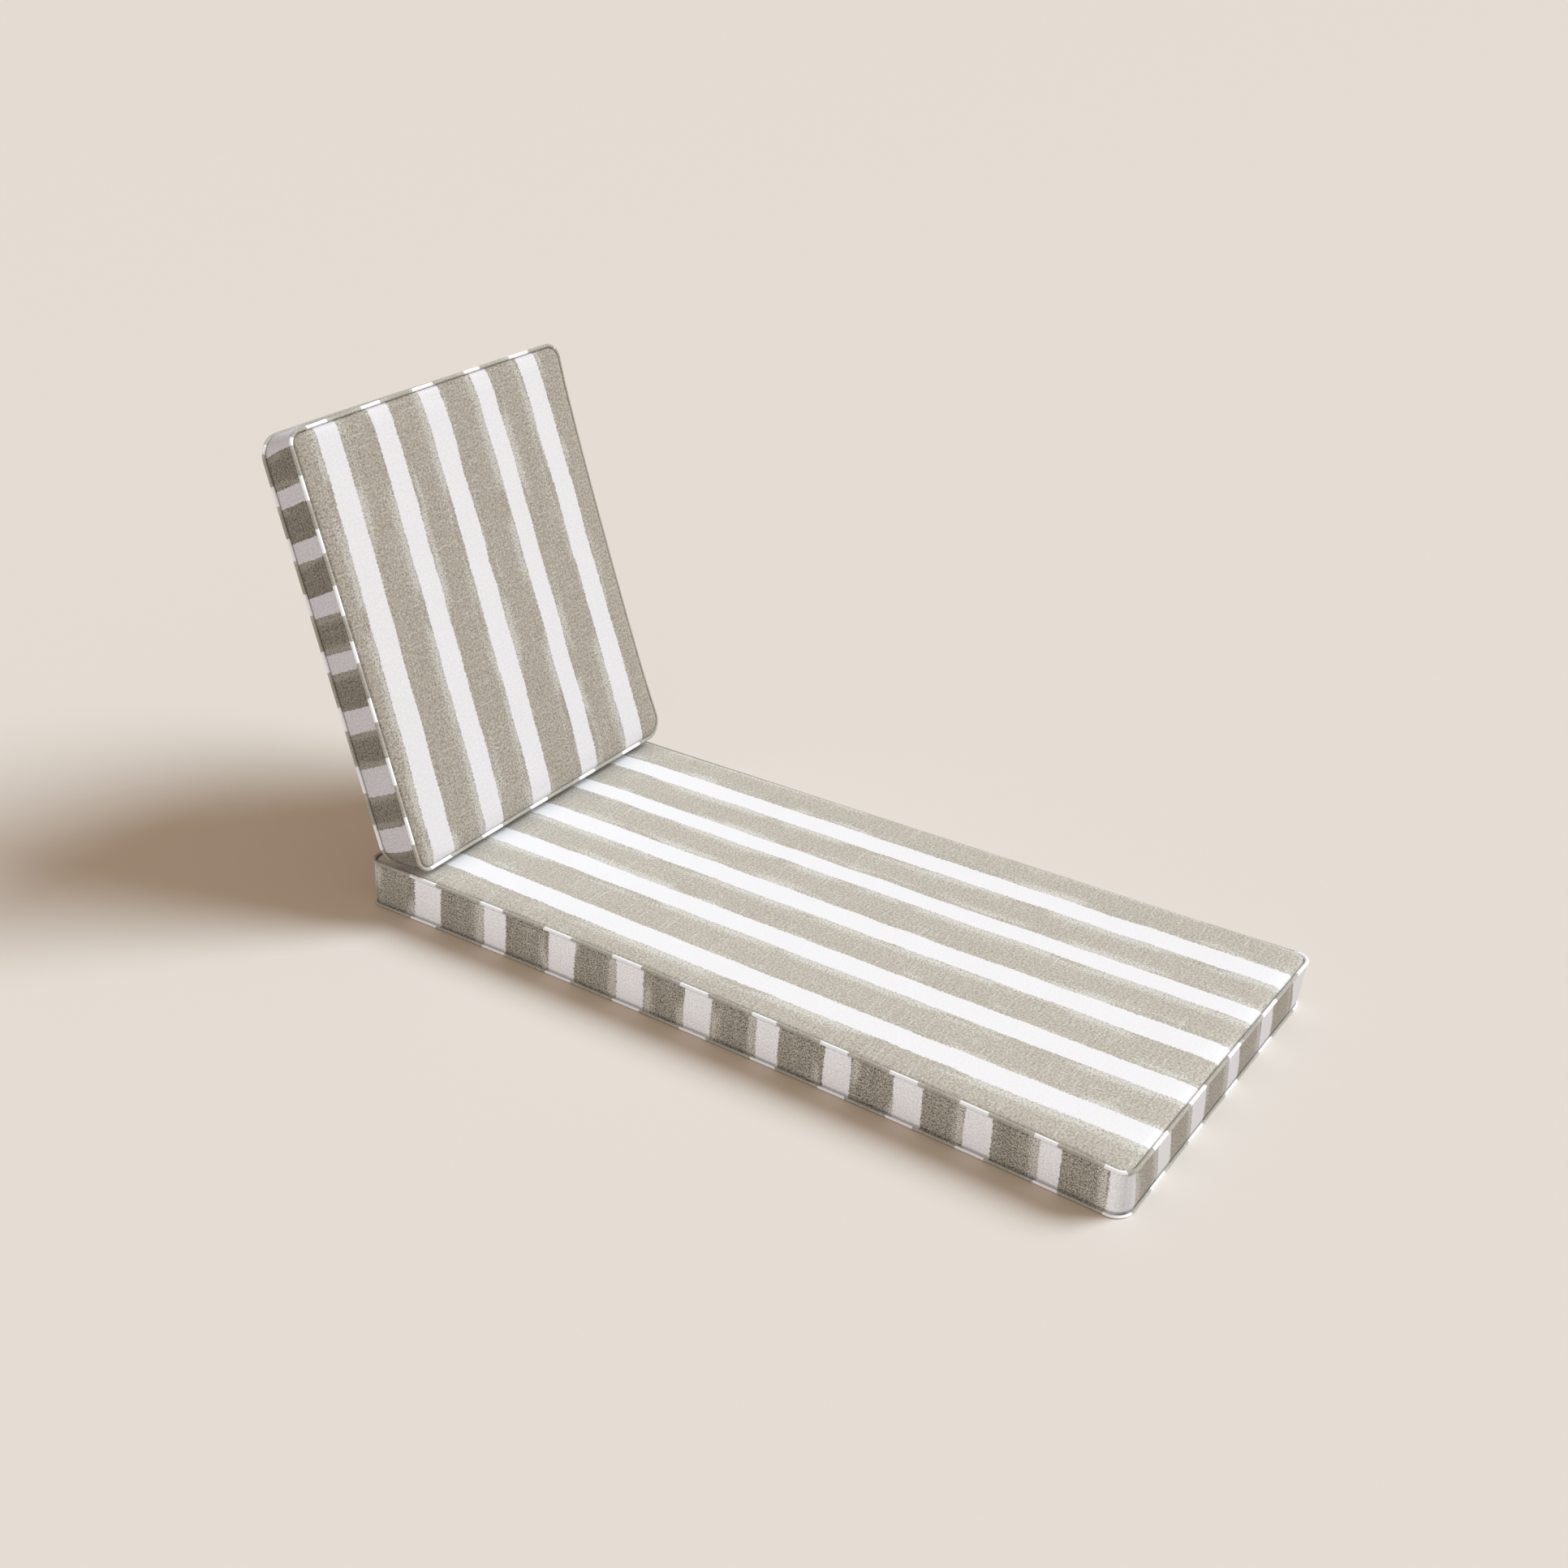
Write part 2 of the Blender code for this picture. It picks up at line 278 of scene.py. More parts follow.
def stripedCloth(recipe):
    dye = Dye(recipe["name"])
    scale, shift = recipe["scale"], recipe["shift"]
    phase = dye.parts(dye.map("stripes"))[0]
    across, along = dye.parts(dye.map("weave"))

    slow = dye.noise(across, along, 10, 12, 1, shift)
    fast = dye.noise(across, along, 60, scale * 0.9, 2, shift + 1)
    moved = phase + (slow - 0.5) * cloth["slowWave"] + (fast - 0.5) * cloth["fastWave"]
    side = dye.maths("FRACT", moved + 0.5) - 0.5
    gap = dye.maths("ABSOLUTE", side) - cloth["whiteShare"] / 2
    band = dye.soft(gap, -cloth["edgeSoftness"], cloth["edgeSoftness"])

    # dry brushing: light flecks that gather in long patches, mostly along one edge of a band
    lean = dye.noise(across, along, 26, 6, 2, shift + 2) + dye.soft(side, 0.05, -0.05) * cloth["patchSide"]
    patch = dye.soft(lean, *cloth["patch"])
    near = 1 - dye.soft(gap, cloth["brushStart"], cloth["brushReach"])
    dense = patch * (near * cloth["patchFlecks"] + cloth["strayFlecks"])
    speck = dye.noise(across, along, scale * 1.2, scale, 2, shift + 3)
    dry = dye.soft(speck + dense, *cloth["fleck"]) * recipe["fleck"]

    # threads: a heather of light and dark, slubs along and across, and streaks from the brush
    weft = dye.noise(across, along, 20, scale * 1.05, 2, shift + 4)
    warp = dye.noise(across, along, scale * 1.3, 10, 2, shift + 5)
    heather = dye.noise(across, along, scale * 0.9, scale * 0.85, 1, shift + 6)
    brush = dye.noise(across, along, 85, 4, 2, shift + 7)
    weftSlubs, warpSlubs = cloth["slubs"]
    slub = dye.soft(weft, *cloth["weftSlub"]) * weftSlubs + dye.soft(warp, *cloth["warpSlub"]) * warpSlubs
    weftShare, warpShare, heatherShare = cloth["threads"]
    thread = (weft - 0.5) * weftShare + (warp - 0.5) * warpShare + (heather - 0.5) * heatherShare
    shade = 1 + thread * recipe["grain"] + (brush - 0.5) * recipe["streak"]
    bare = dye.maths("MAXIMUM", dry, slub * recipe["slub"])
    painted = dye.blend(bare, dye.tint(recipe["taupe"], shade), recipe["bare"])
    plain = dye.tint(recipe["white"], 1 + thread * recipe["whiteGrain"])
    # painted shade: the colour darkens in the crease beside each cord (seam) and round the foot corner (turn)
    seam = dye.node("ShaderNodeAttribute", {"attribute_name": "seam"}, {}, 2)
    turn = dye.node("ShaderNodeAttribute", {"attribute_name": "turn"}, {}, 2)
    light = 1 - seam * cloth["seamShade"] - turn * cloth["turnShade"]
    dye.feed("Base Color", dye.tint(dye.blend(band, plain, painted), light))

    weftHeight, warpHeight, heatherHeight, paintHeight = cloth["heights"]
    height = weft * weftHeight + warp * warpHeight + heather * heatherHeight + band * paintHeight
    bump = dye.node("ShaderNodeBump", {}, {
        "Strength": cloth["bumpStrength"], "Distance": cloth["bumpHeight"], "Height": height})
    dye.feed("Normal", bump)
    dye.shader.inputs["Roughness"].default_value = cloth["roughness"]
    dye.shader.inputs["Specular IOR Level"].default_value = cloth["gloss"]
    dye.shader.inputs["Sheen Weight"].default_value = cloth["sheen"]
    dye.shader.inputs["Sheen Roughness"].default_value = cloth["sheenRoughness"]
    return dye.material


# cushions: each is worked out in its own axes, x along it, y across it and z through it from the lower piping

pipingRadius = 0.0029
bowPower = 2.5
endBowPower = 8
rowSlack = 0.1              # how near to a row of the cover's grid counts as on it

# corners go start minus, start plus, end minus, end plus; minus is the seat's near side and the back's far side.
# draw is how far a side bows in at its middle, and lowerOut how much less the lower outline does on the minus side.
# The lower outline also stands back by tuck at the end, and out by flare at the minus corner of the start.
# roll turns one side's upper seam down out of sight, and swell lifts the cover there.
seat = {
    "name": "seat_padding", "node": "seat_cushion", "fill": 0.85,
    "length": seatLength, "startWidth": 0.580, "endWidth": 0.600, "startDepth": 0.0705, "endDepth": 0.0705,
    "lowerCorners": (0.020, 0.030, 0.026, 0.030), "upperCorners": (0.022, 0.022, 0.022, 0.022),
    "drawMinus": 0.0122, "drawPlus": 0.0015, "drawStart": 0.003, "drawEnd": 0.001,
    "tuckMinus": 0.0015, "tuckPlus": 0.004, "flare": 0.004, "flarePower": 8, "lowerOut": 0.0020,
    "lowerPiping": 0.0021, "edgeLift": 0.0060, "upperCrown": 0.0028, "lowerCrown": 0.0, "crownReach": 0.030,
    "seamRise": 0.0028,
    "liesFlat": True, "pressed": True, "fullness": 2,
    "rollSide": 1, "roll": 0.0015, "swell": 0.0110, "swellStart": 0.4,
    "drift": 3.0, "driftPower": 6, "hook": 5.0, "hookReach": 0.018,     # of the stripes towards the foot, in mm
    "cells": (144, 64, 11),
}
back = {
    "name": "back_padding", "node": "back_cushion", "fill": 0.85,
    "length": 0.688, "startWidth": 0.599, "endWidth": 0.586, "startDepth": 0.077, "endDepth": 0.068,
    "lowerCorners": (0.034, 0.045, 0.034, 0.034), "upperCorners": (0.036, 0.020, 0.026, 0.020),
    "drawMinus": 0.0070, "drawPlus": 0.0010, "drawStart": 0.001, "drawEnd": -0.0020,
    "tuckMinus": 0.0105, "tuckPlus": 0.0035, "flare": 0.0, "flarePower": 8, "lowerOut": 0.0,
    "lowerPiping": 0.0029, "edgeLift": 0.0, "upperCrown": 0.0050, "lowerCrown": 0.0040, "crownReach": 0.055,
    "seamRise": 0.0038,
    "liesFlat": False, "pressed": False, "fullness": 1,
    "rollSide": -1, "roll": 0.0040, "swell": 0.0030, "swellStart": 1.0,
    "gather": 0.117, "gatherFrom": 0.35, "gatherAbout": 355,    # of the stripes towards the top
    "cells": (76, 64, 12),
}
backPlace = {"stand": 0.0490, "offCentre": 0.0040, "lean": 15.4, "sink": 0.0003}     # stand is from the seat's head
rest = {"level": 0.0757, "halfWidth": 0.010, "spread": 0.034, "held": 0.09}     # where the back presses the seat

skin = {
    "edgeSteps": 4, "edgeFineness": 0.95,     # rows crowd together beside a seam
    "boxingFineness": 0.35,
    "seamReach": 0.0040, "seamWidth": 0.0030,
    "boxingBulge": 0.0009, "boxingTuck": 0.0006,
    "rollReach": 0.035, "rollPower": 8,
    "underReach": 0.004,
    "cornerTurn": 0.007,                      # how far the side's cloth, with its own painted light and shade, goes round on to the foot end
    "crease": 0.0018, "boxingCrease": 0.0011,      # how deep the row beside a cord is drawn into the seam
    "shadeReach": 0.0017, "faceShade": 0.5,        # of the painted shade of a seam, out from its cord
}
puff = {"pressure": 4.0, "frames": 20, "most": 0.0009, "slack": -0.004}     # most caps how far a point moves
relief = {
    "wave": 0.0007, "waves": 9, "fineWaves": 23, "waveReach": 0.03,
    "pucker": 0.0007, "puckers": 70, "puckersIn": 20, "puckerReach": 0.014,
    "ridge": 0.0005, "ridgeInsets": (0.0085, 0.0125), "ridgeWidth": 0.0012,
    "foldStart": 0.15, "foldRun": 0.7,        # the part of a half wave that a fold's depth follows
}

# folds in the boxing: from and to are along the side and up it, in metres
folds = [
    {"cushion": "seat_padding", "side": "minus", "from": (1.318, 0.056), "to": (1.290, 0.043), "depth": 0.0036,
     "width": 0.0032},
    {"cushion": "seat_padding", "side": "minus", "from": (1.300, 0.012), "to": (1.321, 0.018), "depth": 0.0018,
     "width": 0.0030},
]


def meanWidth(cushion):
    return (cushion["startWidth"] + cushion["endWidth"]) / 2


def bow(share):
    return 1 - abs(2 * share - 1) ** bowPower


def drawIn(cushion, level, x, y):
    # tapers the plan to its two widths and draws its sides in between the corners
    along = x / cushion["length"]
    across = 2 * y / meanWidth(cushion)
    half = (cushion["startWidth"] + (cushion["endWidth"] - cushion["startWidth"]) * along) / 2
    side = cushion["drawPlus"] if across > 0 else cushion["drawMinus"] - cushion["lowerOut"] * (1 - level)
    ends = bow((across + 1) / 2)
    tuck = cushion["tuckMinus"] + (cushion["tuckPlus"] - cushion["tuckMinus"]) * (across + 1) / 2
    x += cushion["drawStart"] * ends * abs(1 - along) ** endBowPower
    x -= cushion["drawEnd"] * ends * abs(along) ** endBowPower
    low = (1 - level) ** cushion["fullness"]
    x -= low * (tuck * along ** 2 + cushion["flare"] * (1 - along) ** cushion["flarePower"] * (1 - across) / 2)
    return x, across * half - math.copysign(side * bow(along) * across * across, across)


def rollShare(cushion, x, y):
    # 1 along the middle of the side whose seam is rolled out of sight, and 0 at its corners
    side = max(0, cushion["rollSide"] * 2 * y / meanWidth(cushion))
    ends = [1 - math.exp(-max(0, gone) / skin["rollReach"]) for gone in (x, cushion["length"] - x)]
    return side ** skin["rollPower"] * ends[0] * ends[1]


def upperSeam(cushion, x, y):
    # height of the upper piping over the lower
    along = x / cushion["length"]
    depth = cushion["startDepth"] + (cushion["endDepth"] - cushion["startDepth"]) * along
    lift = cushion["edgeLift"] * max(0, 1 - along) * (0.5 - y / meanWidth(cushion))
    return depth + lift - cushion["roll"] * rollShare(cushion, x, y)


def pressedLevel(x, height):
    away = max(0, abs(x - backPlace["stand"]) - rest["halfWidth"])
    share = math.exp(-(away / rest["spread"]) ** 2)
    return height - share * max(0, height - (rest["level"] - seatFloor))


def edgeInset(steps, cells, half):
    # metres from an edge, for a number of rows from it
    def spread(t):
        return t - skin["edgeFineness"] * skin["edgeSteps"] * (1 - math.exp(-t / skin["edgeSteps"]))
    return half * spread(steps) / spread(cells / 2)


def cornerOf(cushion, level, endSign, sideSign):
    which = (2 if endSign > 0 else 0) + (1 if sideSign > 0 else 0)
    lower, upper = cushion["lowerCorners"][which], cushion["upperCorners"][which]
    return upper + (lower - upper) * (1 - level) ** cushion["fullness"]


def planPoint(cushion, corner, inset, fromEnd, fromSide):
    # a point of a rounded outline that is drawn in by inset, or let out where that is negative
    halfLength, halfWidth = cushion["length"] / 2, meanWidth(cushion) / 2
    inward = max(inset, 0)
    extent = max(corner - inward, 0)
    radius = extent + inward - inset
    gone = max(fromEnd, fromSide) - inward
    centreX, centreY = halfLength - inward - extent, halfWidth - inward - extent
    if gone < extent:
        angle = math.radians(45) * (1 - gone / extent)
        short, long = radius * math.sin(angle), radius * math.cos(angle)
        return (centreX + short, centreY + long) if fromEnd >= fromSide else (centreX + long, centreY + short)
    if fromEnd >= fromSide:
        return halfLength - fromEnd, centreY + radius
    return centreX + radius, halfWidth - fromSide


def faceHeight(cushion, crown, x, y, inset, fromEnd, fromSide):
    reach = cushion["crownReach"]
    lift = 1 - math.exp(-max(0, inset - skin["seamWidth"]) / skin["seamReach"])
    rise = cushion["seamRise"]
    if crown is cushion["upperCrown"]:
        grown = cushion["swellStart"] + (1 - cushion["swellStart"]) * min(1, 2 * x / cushion["length"])
        rise += (cushion["roll"] + cushion["swell"] * grown) * rollShare(cushion, x, y)
    return rise * lift + crown * (1 - math.exp(-fromEnd / reach)) * (1 - math.exp(-fromSide / reach))


def gridOf(cushion, co):
    # which row, column and layer of the box a corner of it is
    return [(co[i] + 0.5) * cushion["cells"][i] for i in range(3)]


def skinPoint(cushion, co):
    cells = cushion["cells"]
    i, j, k = gridOf(cushion, co)
    half = (cushion["length"] / 2, meanWidth(cushion) / 2)
    endSign, sideSign = math.copysign(1, co[0]), math.copysign(1, co[1])
    fromEnd = edgeInset(min(i, cells[0] - i), cells[0], half[0])
    fromSide = edgeInset(min(j, cells[1] - j), cells[1], half[1])
    onFace = k < rowSlack or k > cells[2] - rowSlack
    share = k / cells[2]
    share -= (1 - skin["boxingFineness"]) / (2 * math.pi) * math.sin(2 * math.pi * share)
    inset = min(fromEnd, fromSide)
    if not onFace:
        inset = skin["boxingTuck"] - skin["boxingBulge"] * math.sin(math.pi * share)
    x, y = planPoint(cushion, cornerOf(cushion, share, endSign, sideSign), inset, fromEnd, fromSide)
    x, y = half[0] + endSign * x, sideSign * y
    newX, newY = drawIn(cushion, share, x, y)
    if not onFace:
        z = share * upperSeam(cushion, x, y)
    elif share > 0.5:
        z = upperSeam(cushion, x, y) + faceHeight(cushion, cushion["upperCrown"], x, y, inset, fromEnd, fromSide)
        if cushion["pressed"]:
            z = pressedLevel(x, z)
    elif cushion["liesFlat"]:
        z = -pipingRadius * (1 - math.exp(-inset / skin["underReach"]))
    else:
        z = -faceHeight(cushion, cushion["lowerCrown"], x, y, inset, fromEnd, fromSide)
    return Vector((newX, newY, z))


def selectEdges(mesh, axis):
    shape = bmesh.from_edit_mesh(mesh)
    for edge in shape.edges:
        run = edge.verts[1].co - edge.verts[0].co
        edge.select_set(abs(run[axis]) > 0.9 * run.length)
    shape.select_flush_mode()
    bmesh.update_edit_mesh(mesh)


def boxGrid(cushion):
    # a cube cut into the rows and columns of the cover
    bpy.ops.object.select_all(action="DESELECT")
    bpy.ops.mesh.primitive_cube_add(size=1)
    piece = bpy.context.object
    piece.name = piece.data.name = cushion["name"]
    bpy.ops.object.mode_set(mode="EDIT")
    bpy.ops.mesh.select_mode(type="EDGE")
    for axis in range(3):
        bpy.ops.mesh.select_all(action="DESELECT")
        selectEdges(piece.data, axis)
        bpy.ops.mesh.subdivide(number_cuts=cushion["cells"][axis] - 1)
    bpy.ops.object.mode_set(mode="OBJECT")
    return piece


def panelOf(cushion, centre):
    # the panel that a cell of the cover belongs to, by the middle of its grid place
    nearest = min(range(6), key=lambda n: abs(centre[n // 2] - (cushion["cells"][n // 2] if n % 2 else 0)))
    return ("start", "end", "minus", "plus", "under", "top")[nearest]


def puffUp(cushion, piece):
    # blows the cover up a little inside its seams; what lies or is pressed on something stays
    mesh = piece.data
    before = [vertex.co.copy() for vertex in mesh.vertices]
    sewn = piece.vertex_groups.new(name="sewn")
    for vertex, item in zip(mesh.vertices, mesh.attributes["grid"].data):
        i, j, k = item.vector
        cells = cushion["cells"]
        onEnd, onSide = min(i, cells[0] - i) < rowSlack, min(j, cells[1] - j) < rowSlack
        seam = (onEnd or onSide) and min(k, cells[2] - k) < rowSlack
        under = cushion["liesFlat"] and k < rowSlack
        onBoxing = min(k, cells[2] - k) > rowSlack
        pressed = cushion["pressed"] and abs(vertex.co.x - backPlace["stand"]) < rest["held"]
        standing = not cushion["liesFlat"] and i < rowSlack
        if seam or under or onBoxing or pressed or standing:
            sewn.add([vertex.index], 1.0, "REPLACE")
    modifier = piece.modifiers.new("puff", "CLOTH")
    settings = modifier.settings
    settings.vertex_group_mass = "sewn"
    settings.use_pressure = True
    settings.uniform_pressure_force = puff["pressure"]
    settings.shrink_min = puff["slack"]
    settings.effector_weights.gravity = 0
    for frame in range(1, puff["frames"] + 1):
        bpy.context.scene.frame_set(frame)
    bpy.ops.object.modifier_apply(modifier="puff")
    bpy.context.scene.frame_set(1)
    piece.vertex_groups.clear()
    moved = 0
    for vertex, old in zip(mesh.vertices, before):
        step = vertex.co - old
        moved = max(moved, step.length)
        vertex.co = old + step * min(1, puff["most"] / max(step.length, 1e-9))
    print(cushion["name"], "was blown up by up to", round(moved * 1000, 1), "mm before the cap")


def segmentDistance(point, start, end):
    run = Vector(end) - Vector(start)
    share = max(0, min(1, (Vector(point) - Vector(start)).dot(run) / run.length_squared))
    return (Vector(point) - Vector(start) - run * share).length, share


def reliefOf(cushion, grid, flat):
    # how far a point of the cover stands out, for its waves, puckers, creases and folds
    cells = cushion["cells"]
    rows = [min(grid[n], cells[n] - grid[n]) for n in range(3)]
    half = (cushion["length"] / 2, meanWidth(cushion) / 2)
    insets = [edgeInset(rows[n], cells[n], half[n]) for n in range(2)]
    onFace = rows[2] < rowSlack
    wave = noise.noise(Vector(flat) * relief["waves"]) + 0.5 * noise.noise(Vector(flat) * relief["fineWaves"])
    if onFace:
        if cushion["liesFlat"] and grid[2] < 1:
            return 0
        if min(rows[:2]) < rowSlack:
            return 0
        inset = min(insets[:2])
        height = relief["wave"] * wave * (1 - math.exp(-inset / relief["waveReach"]))
        alongSeam = flat[0] if insets[1] < insets[0] else flat[1]
        pucker = noise.noise(Vector((alongSeam * relief["puckers"], inset * relief["puckersIn"], grid[2])))
        height += relief["pucker"] * pucker * math.exp(-inset / relief["puckerReach"])
        for ridgeInset in relief["ridgeInsets"]:
            height += relief["ridge"] * math.exp(-((inset - ridgeInset) / relief["ridgeWidth"]) ** 2)
        if abs(min(rows[:2]) - 1.5) < rowSlack:
            height -= skin["crease"]
        return height
    height = relief["wave"] * wave * math.sin(math.pi * grid[2] / cells[2])
    if abs(rows[2] - 1.5) < rowSlack:
        height -= skin["boxingCrease"]
    if rows[1] < rowSlack:
        side = "minus" if grid[1] < cells[1] / 2 else "plus"
    else:
        side = "start" if grid[0] < cells[0] / 2 else "end"
    place = sidePlace(cushion, side, grid)
    for fold in folds:
        if fold["cushion"] == cushion["name"] and fold["side"] == side:
            away, share = segmentDistance((place, flat[2]), fold["from"], fold["to"])
            depth = fold["depth"] * math.sin(math.pi * (relief["foldStart"] + relief["foldRun"] * share))
            height -= depth * math.exp(-(away / fold["width"]) ** 2)
    return height


def seamShadeOf(cushion, grid, flat):
    # painted shade in the crease beside a cord: 1 against the cord and 0 away from it
    cells = cushion["cells"]
    insets = [edgeInset(min(grid[0], cells[0] - grid[0]), cells[0], cushion["length"] / 2),
              edgeInset(min(grid[1], cells[1] - grid[1]), cells[1], meanWidth(cushion) / 2)]
    away, share = min(insets), skin["faceShade"]
    if rowSlack < grid[2] < cells[2] - rowSlack:
        away = min(flat[2], upperSeam(cushion, flat[0], flat[1]) - flat[2])
        share = 1
    return share * math.exp(-(max(0, away - pipingRadius) / skin["shadeReach"]) ** 2)


def buildPadding(cushion, clothes):
    piece = boxGrid(cushion)
    mesh = piece.data
    grid = mesh.attributes.new("grid", "FLOAT_VECTOR", "POINT")
    flat = mesh.attributes.new("flat", "FLOAT_VECTOR", "POINT")
    for vertex in mesh.vertices:
        grid.data[vertex.index].vector = gridOf(cushion, vertex.co)
        vertex.co = skinPoint(cushion, vertex.co)
        flat.data[vertex.index].vector = vertex.co
    puffUp(cushion, piece)
    finer = piece.modifiers.new("finer", "SUBSURF")
    finer.levels = finer.render_levels = 1
    bpy.ops.object.modifier_apply(modifier="finer")
    grids = [Vector(item.vector) for item in mesh.attributes["grid"].data]
    flats = [Vector(item.vector) for item in mesh.attributes["flat"].data]
    normals = [vertex.normal.copy() for vertex in mesh.vertices]
    # painted shade in the creases beside the cords, kept as a darkening of the colour
    seam = mesh.attributes.new("seam", "FLOAT", "POINT")
    for vertex, normal, where, place in zip(mesh.vertices, normals, grids, flats):
        vertex.co += normal * reliefOf(cushion, where, place)
        seam.data[vertex.index].value = seamShadeOf(cushion, where, place)
    mapStripes(cushion, mesh, grids, flats)
    for material in clothes:
        mesh.materials.append(material)
    mesh.shade_smooth()
    print(cushion["name"], "has", len(mesh.polygons), "faces")
    return piece


# stripes: where the white bands lie, in mm, as their starts and widths; the back's go from its near side

chartMiddle = 300           # of the charts that go from one long side to the other

def evenBands(first, pitch, width, length):
    count = int((length - first) / pitch) + 2
    return [(first + pitch * (n - 1), width) for n in range(count + 1)]


stripes = {
    "seat_padding": {
        "top": [(58, 39.6), (166, 40.5), (271.5, 41.5), (384, 35), (488, 39.5)],
        "under": evenBands(52, 106, 41, 600),
        "minus": [(94, 53.5), (236.4, 42.2), (363.7, 49.8), (492.8, 50.5), (617.3, 47.9), (744.8, 38.2),
                  (857.1, 43.9), (970.9, 44.2), (1082, 40.3), (1193.6, 30.6), (1293.3, 46)],
        "end": [(-33, 51), (86, 38), (190, 42), (307, 36), (421, 41), (537, 45)],
        "plus": evenBands(48, 118, 44, 1000 * seatLength),
        "start": evenBands(-12, 112, 42, 590),
    },
    "back_padding": {
        "top": [(41, 42.5), (153.5, 40.5), (264, 43), (383, 38), (494.5, 43.5)],
        "under": evenBands(60, 111, 42, 600),
        "plus": [(32, 43), (129, 46), (232, 38), (329, 29), (418, 32), (503, 31), (587, 27), (668, 34)],
        "end": [(-20, 108), (253, 43), (366, 36), (478, 44)],
        "minus": evenBands(60, 104, 38, 688),
        "start": evenBands(18, 116, 44, 600),
    },
}


def repeatsAt(bands, place):
    # the stripe map's value: whole at the middle of each white band, and 0.19 either side of that at its edges
    share = cloth["whiteShare"]
    gapBefore = bands[1][0] - bands[0][0] - bands[0][1]
    gapAfter = bands[-1][0] - bands[-2][0] - bands[-2][1]
    if place < bands[0][0]:
        return -share / 2 - (bands[0][0] - place) / gapBefore * (1 - share)
    for n, (start, width) in enumerate(bands):
        if place <= start + width:
            return n - share / 2 + share * (place - start) / width
        following = bands[n + 1][0] if n + 1 < len(bands) else start + width + gapAfter
        if place < following or n + 1 == len(bands):
            return n + share / 2 + (1 - share) * (place - start - width) / (following - start - width)


def sidePlace(cushion, side, grid):
    # metres along a side from its start or its minus end, as if the corners were square
    n = 0 if side in ("minus", "plus") else 1
    half = (cushion["length"] / 2, meanWidth(cushion) / 2)[n]
    steps, count = grid[n], cushion["cells"][n]
    near = edgeInset(min(steps, count - steps), count, half)
    return near if steps < count / 2 else 2 * half - near


def chartPlace(cushion, side, place):
    # the same in mm on the chart of a side, which for the short sides is 600 mm from the near edge to the far one
    if side in ("minus", "plus"):
        return place * 1000
    width = cushion["endWidth"] if side == "end" else cushion["startWidth"]
    fromMiddle = (place - meanWidth(cushion) / 2) * width / meanWidth(cushion)
    return chartMiddle + 1000 * (-fromMiddle if cushion is back else fromMiddle)


def stripePlace(cushion, panel, grid, flat):
    # mm across the stripes and metres along them
    if panel not in ("top", "under"):
        place = chartPlace(cushion, panel, sidePlace(cushion, panel, grid))
        return place + 1000 * slant(cushion, panel, flat), flat.z
    if cushion is seat:
        half = (seat["startWidth"] + (seat["endWidth"] - seat["startWidth"]) * flat.x / seat["length"]) / 2
        left = max(0, seat["length"] - flat.x)
        moved = seat["drift"] * (1 - left / seat["length"]) ** seat["driftPower"]
        moved += seat["hook"] * math.exp(-left / seat["hookReach"])
        return (flat.y / half + 1) * chartMiddle - moved, flat.x
    # the bands of the back draw together towards its top
    gather = 1 + back["gather"] * (flat.x - back["gatherFrom"])
    return back["gatherAbout"] + (chartMiddle - 1000 * flat.y - back["gatherAbout"]) * gather, flat.x


# how far the stripes of the boxing move along it for each metre up or down it, from the level where they don't
askew = {
    "backSide": 0.16, "backSideFoot": 0.1, "backSideFootReach": 0.05, "backSideLevel": 0.037,
    "seatEnd": 0.15, "seatEndBend": 2, "seatEndLevel": 0.06, "seatEndReach": 0.05,
    "seatSide": 0.1, "seatSideLevel": 0.04,
}


def slant(cushion, panel, flat):
    # the boxing is sewn on a little askew
    if cushion is back:
        slope = askew["backSide"] + askew["backSideFoot"] * math.exp(-flat.x / askew["backSideFootReach"])
        return -slope * (flat.z - askew["backSideLevel"]) if panel == "plus" else 0
    if panel == "end":
        down = min(askew["seatEndReach"], askew["seatEndLevel"] - flat.z)
        bend = askew["seatEndBend"] * max(0, down) ** 2
        return -askew["seatEnd"] * down - bend * (flat.y / seat["endWidth"] + 0.5)
    slope = askew["seatSide"] * (1 - flat.x / seat["length"])
    return -slope * (flat.z - askew["seatSideLevel"]) if panel == "minus" else 0


def turnOf(cushion, panel, grid):
    # painted shade round the foot corner: how far round a corner the side's cloth has gone, 0 on the side and 1
    # where it ends
    radius = cushion["upperCorners"][2]        # of the near corner at the foot
    place = sidePlace(cushion, panel, grid)
    gone = radius + place if panel == "end" else radius - min(place, cushion["length"] - place)
    share = max(0, min(1, gone / (radius + skin["cornerTurn"])))
    return share * share * (3 - 2 * share)


weaveApart = 3              # metres between the weaves of two panels, so that no two look alike


